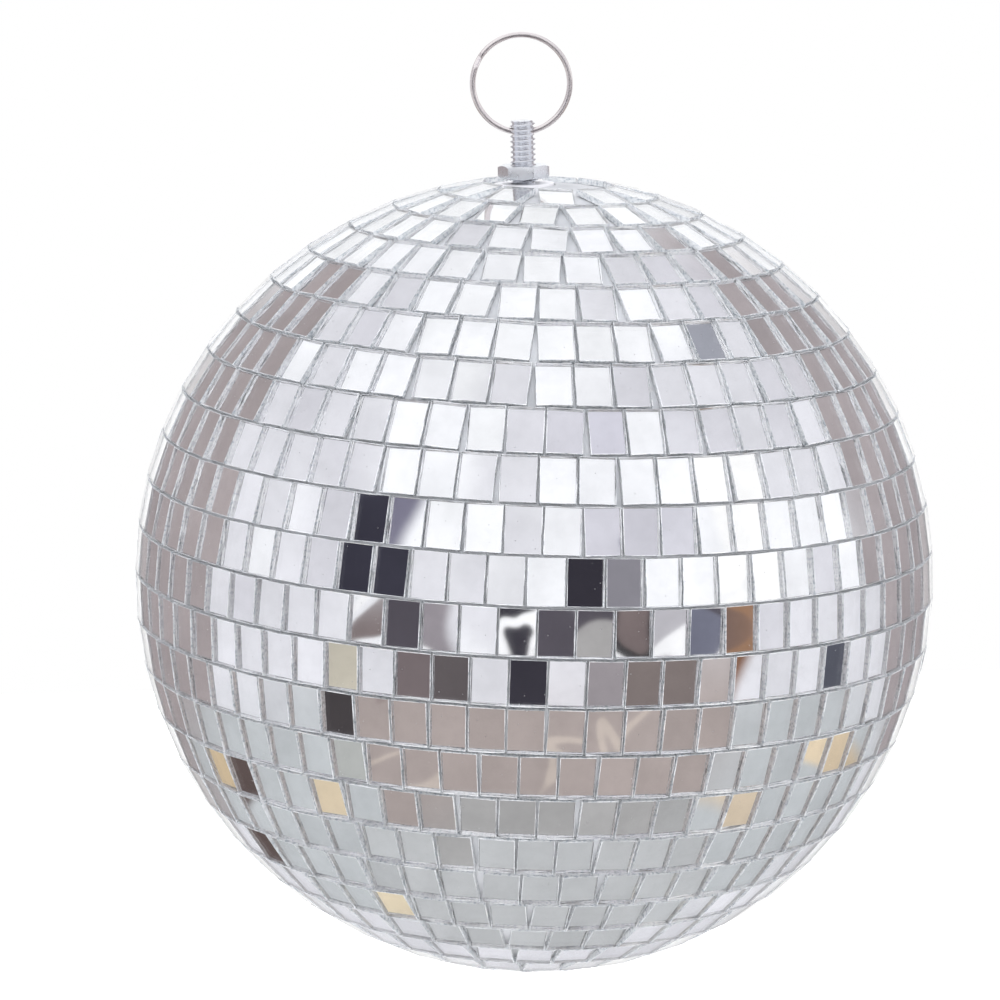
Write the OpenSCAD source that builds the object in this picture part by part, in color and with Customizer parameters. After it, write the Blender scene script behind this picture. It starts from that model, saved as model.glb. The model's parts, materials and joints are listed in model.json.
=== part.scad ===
// Mirror ball: a hollow plastic core faced with rows of flat mirror tiles, hung from a split
// ring by a threaded stud. The origin is the hanging point, at the top of the ring's inside.

/* [Ball] */
// Diameter over the faces of the mirror tiles
ball_d = 200; // [150:1:300]
// Rows of mirror tiles between the equator and each pole
rows_per_half = 12; // [8:1:16]
// Radius of the circle that the rows leave open at each pole
pole_open_r = 15.6; // [13:0.1:22]
// Lean of the rows' axis from the hanging stud, as the tiles were laid by hand
row_lean = 3.5; // [0:0.1:4]

/* [Mirror tiles] */
// Width of a tile, along its row
tile_w = 8.5; // [6:0.1:12]
// Thickness of a tile
tile_t = 1.5; // [1:0.1:2.5]
// Gap between neighbours of a row, where they come closest
tile_gap = 0.3; // [0.2:0.05:1]
// Gap between two rows, at the backs of the tiles
row_gap = 0.5; // [0.4:0.05:1]
// Largest tilt of a tile out of the ball's surface, in degrees
tile_tilt = 1; // [0:0.1:1.5]
// Largest random turn of a tile in the ball's surface, in degrees
tile_turn = 0.5; // [0:0.1:1]
// Tiles on one strip of backing cloth
strip_len = 3; // [2:1:6]
// Largest turn of a strip's end tiles towards its middle tile, in degrees
strip_turn = 2; // [0:0.1:2.5]
// Thickness of the glue line under a tile's middle
glue_t = 0.03; // [0.03:0.01:0.2]

/* [Core] */
// Wall of the two core shells
core_wall = 2; // [1.5:0.1:4]
// Thickness of the backing cloth and its glue
backing_t = 0.5; // [0.3:0.1:1]
// Height of the lap joint between the shells
lap_h = 5; // [3:0.5:10]
// Clearance in the lap joint
lap_clearance = 0.05; // [0.02:0.01:0.2]
// Diameter of the boss inside the top shell
boss_d = 22; // [20:0.5:30]
// Depth of the boss below the top of the core
boss_h = 11.5; // [8:0.5:20]
// Diameter of the flat collar around the stud
collar_d = 15; // [14:0.5:18]
// Height of the collar above the core
collar_h = 0.6; // [0.4:0.1:1.5]

/* [Stud and its hardware] */
// Diameter of the hanging stud, over its thread
stud_d = 6.35; // [5:0.05:8]
// Overall length of the stud
stud_len = 40; // [38:0.5:60]
// Length of the stud that stands out of the core
stud_exposed = 16.2; // [16:0.1:22]
// Chamfer at both ends of the stud
stud_chamfer = 0.5; // [0.2:0.1:0.8]
// Wall of the stud above its cross hole
eye_wall = 1.2; // [1:0.1:2]
// Radial clearance between the stud and what is threaded on it
thread_clearance = 0.05; // [0.02:0.01:0.08]
// Width across the flats of both nuts
nut_af = 11.1; // [10:0.1:13]
// Thickness of the lock nut
lock_nut_t = 3.3; // [3:0.1:5]
// Height of the lock nut's underside above the collar
lock_nut_gap = 1.3; // [0.5:0.1:3]
// Turn of the lock nut about the stud, in degrees
lock_nut_turn = -6; // [-30:1:30]
// Thickness of the inner nut
inner_nut_t = 5.5; // [4:0.1:6.5]
// Outer diameter of the threaded insert's sleeve
insert_d = 9; // [8.5:0.1:10]
// Outer diameter of the insert's flange
insert_flange_d = 16; // [12:0.5:18]
// Thickness of the insert's flange
insert_flange_t = 1.5; // [1:0.1:2.5]
// Radial clearance between the stud and the two washers
washer_clearance = 0.3; // [0.2:0.05:0.6]
// Outer diameter of the wide washer
wide_washer_d = 25; // [20:0.5:30]
// Thickness of the wide washer
wide_washer_t = 1.2; // [1:0.1:2]
// Outer diameter of the spring washer
spring_washer_d = 11; // [10:0.1:12]
// Thickness of the spring washer
spring_washer_t = 1.6; // [1.2:0.1:2]
// Width of the spring washer's split
spring_washer_split = 1; // [0.5:0.1:2]

/* [Split ring] */
// Outer diameter of the split ring
ring_od = 25.4; // [22:0.1:32]
// Width of the ring's wire, across the ring
wire_w = 1.4; // [1:0.1:2]
// Thickness of the ring's wire, along the ring's axis
wire_t = 0.8; // [0.6:0.05:1]
// Gap between the ring's two coils
coil_gap = 0.06; // [0.04:0.01:0.1]
// Angle from the ring's +X side up to the crossing of its coils
crossing_at = 152; // [100:1:170]
// Angle that the crossing takes up
crossing_span = 14; // [10:1:24]
// Clearance between the wire and the stud's cross hole
eye_clearance = 0.25; // [0.1:0.05:0.5]

/* [Hidden] */
$fn = 96;
seam = 0.01;

// Radii of the layers, from the tile faces inwards
ball_r = ball_d / 2;
tile_back_r = ball_r - tile_t;
backing_r = tile_back_r - glue_t;
core_r = backing_r - backing_t;
core_in_r = core_r - core_wall;
lap_r = core_r - core_wall / 2;

// Rows of tiles
row_pitch = (90 - asin(pole_open_r / ball_r)) / rows_per_half;
tile_h = 2 * tile_back_r * tan(row_pitch / 2) - row_gap;

// Heights along the stud, above the ball's centre
collar_z = core_r + collar_h;
boss_z = core_r - boss_h;
stud_top_z = core_r + stud_exposed;
stud_r = stud_d / 2;
wide_washer_z = boss_z - wide_washer_t;
spring_washer_z = wide_washer_z - spring_washer_t;
inner_nut_z = spring_washer_z - inner_nut_t;
lock_nut_z = collar_z + lock_nut_gap;
thread_r = stud_r + thread_clearance;
insert_top_z = core_r - core_wall;
insert_seat_z = boss_z + insert_flange_t;

// Ring and the cross hole that it passes through
ring_mean_r = (ring_od - wire_w) / 2;
ring_in_r = ring_mean_r - wire_w / 2;
coil_pitch = wire_t + coil_gap;
coils_t = coil_pitch + wire_t;
wire_bow = ring_mean_r - sqrt(pow(ring_mean_r, 2) - pow(stud_r, 2));
eye_r = norm([(wire_w + wire_bow) / 2, coils_t / 2]) + eye_clearance;
eye_z = stud_top_z - eye_wall - eye_r;
ring_z = eye_z + ring_mean_r - wire_bow / 2;

// How far the crossing's ends reach into the coils, and stay inside the wire's edges
crossing_lead = 0.15;
crossing_inset = 0.03;

// Height of the ball's centre in the part's frame
ball_z = -(ring_z + ring_in_r);

row_names = [for (side = ["north", "south"]) for (row = [1:rows_per_half]) row_name(side, row)];

// Name of a row's node, counted from the equator
function row_name(side, row) = str("mirror_row_", side, "_", row < 10 ? "0" : "", row);

// Latitude of the middle of a row
function row_latitude(row) = (row - 0.5) * row_pitch;

// Distance from the rows' axis to the edge of a tile that is nearest the pole
function near_edge_r(lat) = tile_back_r * cos(lat) - tile_h / 2 * sin(lat);

// Smallest angle between two neighbours that still leaves the tile gap
function closest_angle(lat) = 2 * atan((tile_w + tile_gap) / 2 / near_edge_r(lat));

// Number of tiles in the row at this latitude
function tiles_in_row(lat) = floor(360 / closest_angle(lat));

// Places of a tile on its strip, counted from the strip's middle
function strip_place(i, count) =
    let (first = floor(i / strip_len) * strip_len)
    i - first - (min(strip_len, count - first) - 1) / 2;

// Draws at the ball's centre, and places what is drawn in the part's frame
module at_ball() {
    translate([0, 0, ball_z]) children();
}

// The tilted frame of the mirror rows
module at_rows() {
    at_ball() rotate([0, row_lean, 0]) children();
}

// One flat tile on the ball: longitude, latitude, then its own turn and two tilts
module tile(lon, lat, turn, tilt_a, tilt_b) {
    rotate([0, 0, lon]) rotate([0, -lat, 0]) translate([tile_back_r, 0, 0])
        rotate([turn, tilt_a, tilt_b]) translate([0, -tile_w / 2, -tile_h / 2])
            cube([tile_t, tile_w, tile_h]);
}

// One row of tiles: each strip's tiles draw together and turn towards its middle tile
module mirror_row(side, row) {
    lat = row_latitude(row);
    count = tiles_in_row(lat);
    step = 360 / count;
    seed = row + (side > 0 ? 0 : 50);
    fan = step * sin(lat);
    turn_step = min(strip_turn / (strip_len - 1) * 2, fan / 2);
    saved = turn_step * tile_h / 2 / (near_edge_r(lat) + tile_w / 2);
    spare = step - closest_angle(lat);
    phase = rands(0, step, 1, seed)[0];
    turns = rands(-tile_turn, tile_turn, count, seed + 100);
    tilts_a = rands(-tile_tilt, tile_tilt, count, seed + 200);
    tilts_b = rands(-tile_tilt, tile_tilt, count, seed + 300);
    color("gainsboro") at_rows() for (i = [0:count - 1]) {
        place = strip_place(i, count);
        lon = phase + i * step - place * (saved + spare / 2);
        turn = turns[i] - side * place * turn_step;
        tile(lon, side * lat, turn, tilts_a[i], tilts_b[i]);
    }
}

// Six tiles, cut to the circle that the southern rows leave open
module south_pole_tiles() {
    column = (tile_w + 2 * tile_gap) / tile_back_r * 180 / PI;
    line = row_pitch / 2;
    color("gainsboro") at_rows() intersection() {
        for (a = [-1:1]) for (b = [-1, 1])
            rotate([a * column, b * line, 0]) tile(0, -90, 0, 0, 0);
        translate([0, 0, -ball_r - tile_t]) cylinder(r = pole_open_r - 2 * row_gap, h = ball_r / 2);
    }
}

// Half of a hollow ball between two radii, above or below the plane through its centre
module half_shell(outer_r, inner_r, side) {
    difference() {
        sphere(r = outer_r);
        sphere(r = inner_r);
        translate([0, 0, -side * outer_r]) cube(2 * outer_r, center = true);
    }
}

// Backing cloth under the northern rows, cut away around the collar
module backing_north() {
    color("silver") difference() {
        at_rows() half_shell(backing_r, core_r, 1);
        at_ball() cylinder(d = collar_d + 1, h = ball_r + tile_t);
    }
}

module backing_south() {
    color("silver") at_rows() half_shell(backing_r, core_r, -1);
}

// Top shell of the core, with the collar and the boss that holds the insert
module core_upper() {
    color("whitesmoke") at_ball() difference() {
        union() {
            half_shell(core_r, core_in_r, 1);
            translate([0, 0, boss_z]) cylinder(d = boss_d, h = boss_h - core_wall / 2);
            translate([0, 0, core_in_r]) cylinder(d = collar_d, h = collar_z - core_in_r);
        }
        translate([0, 0, -seam]) lap_band(lap_r, lap_h + seam);
        translate([0, 0, boss_z - seam]) cylinder(r = thread_r, h = boss_h + collar_h + 2 * seam);
        translate([0, 0, boss_z - seam]) cylinder(d = insert_d, h = insert_top_z - boss_z + seam);
        translate([0, 0, boss_z - seam]) cylinder(d = insert_flange_d, h = insert_flange_t + seam);
    }
}

// Bottom shell of the core, with the lip that laps inside the top shell
module core_lower() {
    color("whitesmoke") at_ball() union() {
        half_shell(core_r, core_in_r, -1);
        intersection() {
            difference() {
                sphere(r = lap_r - lap_clearance);
                sphere(r = core_in_r);
            }
            translate([0, 0, -core_wall]) cylinder(r = ball_r, h = core_wall + lap_h - lap_clearance);
        }
    }
}

// Everything inside a radius, from the equator up to a height
module lap_band(outer_r, height) {
    intersection() {
        sphere(r = outer_r);
        cylinder(r = ball_r, h = height);
    }
}

// Flanged insert that the stud is threaded into, pressed up into the boss from inside
module threaded_insert() {
    color("goldenrod") at_ball() difference() {
        union() {
            translate([0, 0, boss_z]) cylinder(d = insert_d, h = insert_top_z - boss_z);
            translate([0, 0, boss_z]) cylinder(d = insert_flange_d, h = insert_seat_z - boss_z);
        }
        translate([0, 0, boss_z - seam]) cylinder(r = thread_r, h = boss_h);
    }
}

// Threaded stud, with a cross hole for the ring near its top
module hanging_stud() {
    plain_len = stud_len - 2 * stud_chamfer;
    end_r = stud_r - stud_chamfer;
    color("silver") at_ball() difference() {
        translate([0, 0, stud_top_z - stud_len]) union() {
            cylinder(r1 = end_r, r2 = stud_r, h = stud_chamfer);
            translate([0, 0, stud_chamfer]) cylinder(r = stud_r, h = plain_len);
            translate([0, 0, stud_len - stud_chamfer]) cylinder(r1 = stud_r, r2 = end_r, h = stud_chamfer);
        }
        translate([0, 0, eye_z]) rotate([0, 90, 0]) cylinder(r = eye_r, h = 2 * stud_d, center = true);
    }
}

// Hexagonal nut with both faces chamfered at the corners
module hex_nut(af, thickness) {
    corner_r = af / 2 / cos(30);
    face_r = af / 2;
    chamfer = (corner_r - face_r) * tan(30);
    difference() {
        intersection() {
            cylinder(r = corner_r, h = thickness, $fn = 6);
            union() {
                cylinder(r1 = face_r, r2 = corner_r, h = chamfer);
                translate([0, 0, chamfer]) cylinder(r = corner_r, h = thickness - 2 * chamfer);
                translate([0, 0, thickness - chamfer]) cylinder(r1 = corner_r, r2 = face_r, h = chamfer);
            }
        }
        translate([0, 0, -seam]) cylinder(r = thread_r, h = thickness + 2 * seam);
    }
}

module lock_nut() {
    color("lightsteelblue") at_ball() translate([0, 0, lock_nut_z]) rotate([0, 0, lock_nut_turn])
        hex_nut(nut_af, lock_nut_t);
}

module inner_nut() {
    color("lightsteelblue") at_ball() translate([0, 0, inner_nut_z]) hex_nut(nut_af, inner_nut_t);
}

// Flat ring that fits around the stud
module washer(outer_d, thickness) {
    difference() {
        cylinder(d = outer_d, h = thickness);
        translate([0, 0, -seam]) cylinder(r = stud_r + washer_clearance, h = thickness + 2 * seam);
    }
}

module wide_washer() {
    color("silver") at_ball() translate([0, 0, wide_washer_z]) washer(wide_washer_d, wide_washer_t);
}

// Spring washer, with its split across one side
module spring_washer() {
    color("silver") at_ball() translate([0, 0, spring_washer_z]) difference() {
        washer(spring_washer_d, spring_washer_t);
        translate([0, -spring_washer_split / 2, -seam])
            cube([spring_washer_d, spring_washer_split, spring_washer_t + 2 * seam]);
    }
}

// One coil of the ring: a flat arc around Z, from one angle round to another
module coil(from, to, low) {
    rotate([0, 0, from]) rotate_extrude(angle = to - from)
        translate([ring_in_r, low]) square([wire_w, wire_t]);
}

// Two coils of flat wire, joined where the wire crosses from one to the other
module split_ring() {
    low = -coils_t / 2;
    high = low + coil_pitch;
    start = crossing_at + crossing_span / 2;
    end = start + 360 - crossing_span;
    color("rosybrown") translate([0, 0, -ring_in_r]) rotate([90, 0, 0]) {
        coil(start, end, low);
        coil(start, end, high);
        coil_crossing(low, high);
    }
}

// Straight stretch of wire that climbs from the end of one coil to the start of the other
module coil_crossing(low, high) {
    half = crossing_span / 2;
    run = ring_mean_r * sin(half);
    reach = run + crossing_lead;
    wide = wire_w * cos(half) - 2 * crossing_inset;
    thick = wire_t - 2 * crossing_inset;
    rotate([0, 0, crossing_at])
        translate([ring_in_r * cos(half) + crossing_inset, 0, crossing_inset])
            rotate([90, 0, 90]) linear_extrude(wide) polygon([
                [-reach, low],
                [-run, low],
                [run, high],
                [reach, high],
                [reach, high + thick],
                [run, high + thick],
                [-run, low + thick],
                [-reach, low + thick]
            ]);
}

split_ring();
hanging_stud();
lock_nut();
threaded_insert();
wide_washer();
spring_washer();
inner_nut();
core_upper();
core_lower();
backing_north();
backing_south();
south_pole_tiles();
for (row = [1:rows_per_half]) {
    mirror_row(1, row);
    mirror_row(-1, row);
}
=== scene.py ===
import json
import math

import bmesh
import bpy
import numpy as np
from mathutils import Matrix, Vector


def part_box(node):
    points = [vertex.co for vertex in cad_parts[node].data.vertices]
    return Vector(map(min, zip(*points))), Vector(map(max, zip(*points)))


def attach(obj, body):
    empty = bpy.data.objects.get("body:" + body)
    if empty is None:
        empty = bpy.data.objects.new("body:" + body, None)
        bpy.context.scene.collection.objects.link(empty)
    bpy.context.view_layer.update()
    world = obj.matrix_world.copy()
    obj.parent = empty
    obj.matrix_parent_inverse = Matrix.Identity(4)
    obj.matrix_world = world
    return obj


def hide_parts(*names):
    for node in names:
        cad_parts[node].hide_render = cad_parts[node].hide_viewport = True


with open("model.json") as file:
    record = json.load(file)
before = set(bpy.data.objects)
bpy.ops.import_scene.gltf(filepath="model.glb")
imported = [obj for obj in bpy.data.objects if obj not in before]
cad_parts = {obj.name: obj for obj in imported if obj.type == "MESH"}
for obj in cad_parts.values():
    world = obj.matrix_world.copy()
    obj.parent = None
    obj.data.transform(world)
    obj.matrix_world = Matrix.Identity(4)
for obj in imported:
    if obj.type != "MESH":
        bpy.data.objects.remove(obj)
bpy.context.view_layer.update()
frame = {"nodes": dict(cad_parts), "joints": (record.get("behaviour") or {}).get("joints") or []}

nodes = frame["nodes"]
mm = 0.001


def rowNames():
    return sorted(n for n in nodes if n.startswith("mirror_row_"))


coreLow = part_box("core_lower")[0]
ringLow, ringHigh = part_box("split_ring")
studLow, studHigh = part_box("hanging_stud")
coreRadius = (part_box("core_lower")[1].x - coreLow.x) / 2
ballCentre = Vector((0, 0, coreLow.z + coreRadius))
hinge = next(j for j in frame["joints"] if j["name"] == "ring_swing")
eyeHeight = hinge["pos_m"][2]
print("frame read: ball centre at", round(ballCentre.z, 4))


def newMaterial(name):
    material = bpy.data.materials.new(name)
    material.use_nodes = True
    material.node_tree.nodes.clear()
    return material, material.node_tree.nodes, material.node_tree.links


def principled(name):
    material, made, links = newMaterial(name)
    shader = made.new("ShaderNodeBsdfPrincipled")
    output = made.new("ShaderNodeOutputMaterial")
    links.new(shader.outputs["BSDF"], output.inputs["Surface"])
    return material, shader


def objectNoise(material, scale, detail=3.0, roughness=0.5):
    tree = material.node_tree
    place = tree.nodes.new("ShaderNodeTexCoord")
    noise = tree.nodes.new("ShaderNodeTexNoise")
    noise.inputs["Scale"].default_value = scale
    noise.inputs["Detail"].default_value = detail
    noise.inputs["Roughness"].default_value = roughness
    tree.links.new(place.outputs["Object"], noise.inputs["Vector"])
    return noise


def ramp(material, source, stops):
    tree = material.node_tree
    node = tree.nodes.new("ShaderNodeValToRGB")
    elements = node.color_ramp.elements
    while len(elements) < len(stops):
        elements.new(0.5)
    for element, (place, colour) in zip(elements, stops):
        element.position = place
        element.color = (*colour, 1)
    tree.links.new(source, node.inputs["Fac"])
    return node


def bump(material, source, shader, strength, distance):
    tree = material.node_tree
    node = tree.nodes.new("ShaderNodeBump")
    node.inputs["Strength"].default_value = strength
    node.inputs["Distance"].default_value = distance
    tree.links.new(source, node.inputs["Height"])
    tree.links.new(node.outputs["Normal"], shader.inputs["Normal"])
    return node


mirrorLook = {
    "glassTint": (0.99, 0.996, 0.995),
    "silver": (0.94, 0.94, 0.95),
    "cutEdge": (0.97, 0.985, 0.985),
    "cutRoughness": 0.14,
    "cutClear": 0.6,
    "chipShade": (0.5, 0.54, 0.57),  # painted shade: how dark the deep chips are painted
    "ior": 1.52,
    "wornSilver": 0.965,
    "speckCells": 420,
    "speckSize": 0.12 * mm,
    "speckRoughness": 0.75,
    "cleanRoughness": 0.012,
}


def makeTileGlass():
    material, shader = principled("tileGlass")
    shader.inputs["Base Color"].default_value = (*mirrorLook["glassTint"], 1)
    shader.inputs["Transmission Weight"].default_value = 1
    shader.inputs["Roughness"].default_value = 0
    shader.inputs["IOR"].default_value = mirrorLook["ior"]
    return material


def makeTileSilver():
    material, shader = principled("tileSilver")
    tree = material.node_tree
    shader.inputs["Metallic"].default_value = 1
    silver = mirrorLook["silver"]
    mottle = objectNoise(material, 300, 3)
    worn = tuple(c * mirrorLook["wornSilver"] for c in silver)
    colour = ramp(material, mottle.outputs["Fac"], [(0.35, worn), (0.6, silver)])
    tree.links.new(colour.outputs["Color"], shader.inputs["Base Color"])
    # dust specks: a few cells scatter the reflection
    place = tree.nodes.new("ShaderNodeTexCoord")
    cells = tree.nodes.new("ShaderNodeTexVoronoi")
    cells.inputs["Scale"].default_value = mirrorLook["speckCells"]
    tree.links.new(place.outputs["Object"], cells.inputs["Vector"])
    near = tree.nodes.new("ShaderNodeMath")
    near.operation = "LESS_THAN"
    near.inputs[1].default_value = mirrorLook["speckSize"] * mirrorLook["speckCells"]
    tree.links.new(cells.outputs["Distance"], near.inputs[0])
    spread = tree.nodes.new("ShaderNodeMapRange")
    spread.inputs["To Min"].default_value = mirrorLook["cleanRoughness"]
    spread.inputs["To Max"].default_value = mirrorLook["speckRoughness"]
    tree.links.new(near.outputs[0], spread.inputs["Value"])
    tree.links.new(spread.outputs["Result"], shader.inputs["Roughness"])
    return material


# cut glass: clear enough to mirror the room from inside, frosted in places
def makeTileEdge():
    material, shader = principled("tileCutEdge")
    tree = material.node_tree
    shader.inputs["Transmission Weight"].default_value = mirrorLook["cutClear"]
    shader.inputs["IOR"].default_value = mirrorLook["ior"]
    edge = mirrorLook["cutEdge"]
    splintersAndShade = objectNoise(material, 1400, 5, 0.7)
    # painted shade: the cut edge is darker where the splinter noise is low, which is also where the bump
    # sinks in
    paintedChipShade = tuple(c * f for c, f in zip(edge, mirrorLook["chipShade"]))
    colour = ramp(material, splintersAndShade.outputs["Fac"], [(0.4, paintedChipShade), (0.52, edge)])
    tree.links.new(colour.outputs["Color"], shader.inputs["Base Color"])
    spread = tree.nodes.new("ShaderNodeMapRange")
    spread.inputs["From Min"].default_value = 0.35
    spread.inputs["From Max"].default_value = 0.65
    spread.inputs["To Min"].default_value = mirrorLook["cutRoughness"] * 0.3
    spread.inputs["To Max"].default_value = mirrorLook["cutRoughness"] * 1.7
    tree.links.new(splintersAndShade.outputs["Fac"], spread.inputs["Value"])
    tree.links.new(spread.outputs["Result"], shader.inputs["Roughness"])
    bump(material, splintersAndShade.outputs["Fac"], shader, 0.3, 0.0001)
    return material


clothLook = {
    "dark": (0.36, 0.37, 0.38),
    "pale": (0.52, 0.53, 0.54),
    "roughness": 0.75,
}


def makeBackingCloth():
    material, shader = principled("backingCloth")
    tree = material.node_tree
    shader.inputs["Roughness"].default_value = clothLook["roughness"]
    weave = objectNoise(material, 1600, 2)
    patches = objectNoise(material, 60, 4)
    shades = [(0.3, clothLook["dark"]), (0.7, clothLook["pale"])]
    colour = ramp(material, patches.outputs["Fac"], shades)
    tree.links.new(colour.outputs["Color"], shader.inputs["Base Color"])
    bump(material, weave.outputs["Fac"], shader, 0.4, 0.0002)
    return material


# colour, roughness, grain scale, grain strength
metalLook = {
    "zincStud": ((0.90, 0.915, 0.95), 0.24, 500, 0.02),
    "zincNut": ((0.90, 0.92, 0.95), 0.27, 600, 0.03),
    "washerSteel": ((0.68, 0.69, 0.71), 0.3, 900, 0.15),
    "nickelWire": ((0.93, 0.875, 0.86), 0.17, 160, 0),
    "turnedBrass": ((0.80, 0.62, 0.30), 0.25, 900, 0.12),
}


def makeMetal(name, colour, roughness, grainScale, grainStrength):
    material, shader = principled(name)
    tree = material.node_tree
    shader.inputs["Metallic"].default_value = 1
    stains = objectNoise(material, grainScale * 0.25, 4)
    dull = tuple(c * 0.88 for c in colour)
    shade = ramp(material, stains.outputs["Fac"], [(0.3, dull), (0.62, colour)])
    tree.links.new(shade.outputs["Color"], shader.inputs["Base Color"])
    grain = objectNoise(material, grainScale, 6, 0.6)
    spread = tree.nodes.new("ShaderNodeMapRange")
    spread.inputs["To Min"].default_value = roughness * 0.7
    spread.inputs["To Max"].default_value = roughness * 1.4
    tree.links.new(grain.outputs["Fac"], spread.inputs["Value"])
    tree.links.new(spread.outputs["Result"], shader.inputs["Roughness"])
    if grainStrength:
        bump(material, grain.outputs["Fac"], shader, grainStrength, 0.0001)
    return material


plasticLook = {
    "dark": (0.66, 0.66, 0.67),
    "pale": (0.74, 0.74, 0.75),
    "roughness": 0.5,
}


def makePlastic():
    material, shader = principled("corePlastic")
    tree = material.node_tree
    shader.inputs["Roughness"].default_value = plasticLook["roughness"]
    cloud = objectNoise(material, 40, 3)
    shades = [(0.3, plasticLook["dark"]), (0.7, plasticLook["pale"])]
    colour = ramp(material, cloud.outputs["Fac"], shades)
    tree.links.new(colour.outputs["Color"], shader.inputs["Base Color"])
    orangePeel = objectNoise(material, 900, 2)
    bump(material, orangePeel.outputs["Fac"], shader, 0.15, 0.0001)
    return material


tileGlass = makeTileGlass()
tileSilver = makeTileSilver()
tileCutEdge = makeTileEdge()
backingCloth = makeBackingCloth()
zincStud = makeMetal("zincStud", *metalLook["zincStud"])
zincNut = makeMetal("zincNut", *metalLook["zincNut"])
washerSteel = makeMetal("washerSteel", *metalLook["washerSteel"])
nickelWire = makeMetal("nickelWire", *metalLook["nickelWire"])
turnedBrass = makeMetal("turnedBrass", *metalLook["turnedBrass"])
corePlastic = makePlastic()
print("materials made")


tileSizes = {
    "arrisWidth": 0.11 * mm,  # narrow flat along the front edges
    "arrisDepth": 0.06 * mm,
    "chip": 0.1 * mm,  # how far the broken edges wander
    "seed": 7,
    "gridAcross": 5,  # points across, up and through one tile
    "gridUp": 6,
    "gridThrough": 2,
}


# corners of each separate tile of a CAD row
def looseTiles(name):
    work = bmesh.new()
    work.from_mesh(nodes[name].data)
    bmesh.ops.remove_doubles(work, verts=work.verts, dist=0.01 * mm)
    left = set(work.verts)
    tiles = []
    while left:
        group, edgeOfGroup = set(), [left.pop()]
        while edgeOfGroup:
            vert = edgeOfGroup.pop()
            group.add(vert)
            for edge in vert.link_edges:
                other = edge.other_vert(vert)
                if other in left:
                    left.discard(other)
                    edgeOfGroup.append(other)
        tiles.append(np.array([v.co[:] for v in group]))
    work.free()
    tiles.sort(key=lambda t: (round(math.atan2(t[:, 1].mean(), t[:, 0].mean()), 3), t[:, 2].mean()))
    return tiles


# middle, turn and size of one tile, with x across, y up the ball and z outwards
def tilePlace(corners):
    centre = corners.mean(0)
    values, vectors = np.linalg.eigh(np.cov((corners - centre).T))
    out, across, up = vectors[:, 0], vectors[:, 1], vectors[:, 2]
    if out @ (centre - np.array(ballCentre)) < 0:
        out = -out
    if up[2] < 0:
        up = -up
    across = np.cross(up, out)
    turn = Matrix((across, up, out)).transposed()
    size = [np.ptp((corners - centre) @ axis) for axis in (across, up, out)]
    return Vector(centre), turn, size


def inputSocket(group, name, kind, default=None, low=None):
    socket = group.interface.new_socket(name=name, in_out="INPUT", socket_type=kind)
    if default is not None:
        socket.default_value = default
    if low is not None:
        socket.min_value = low
    return socket


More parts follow.
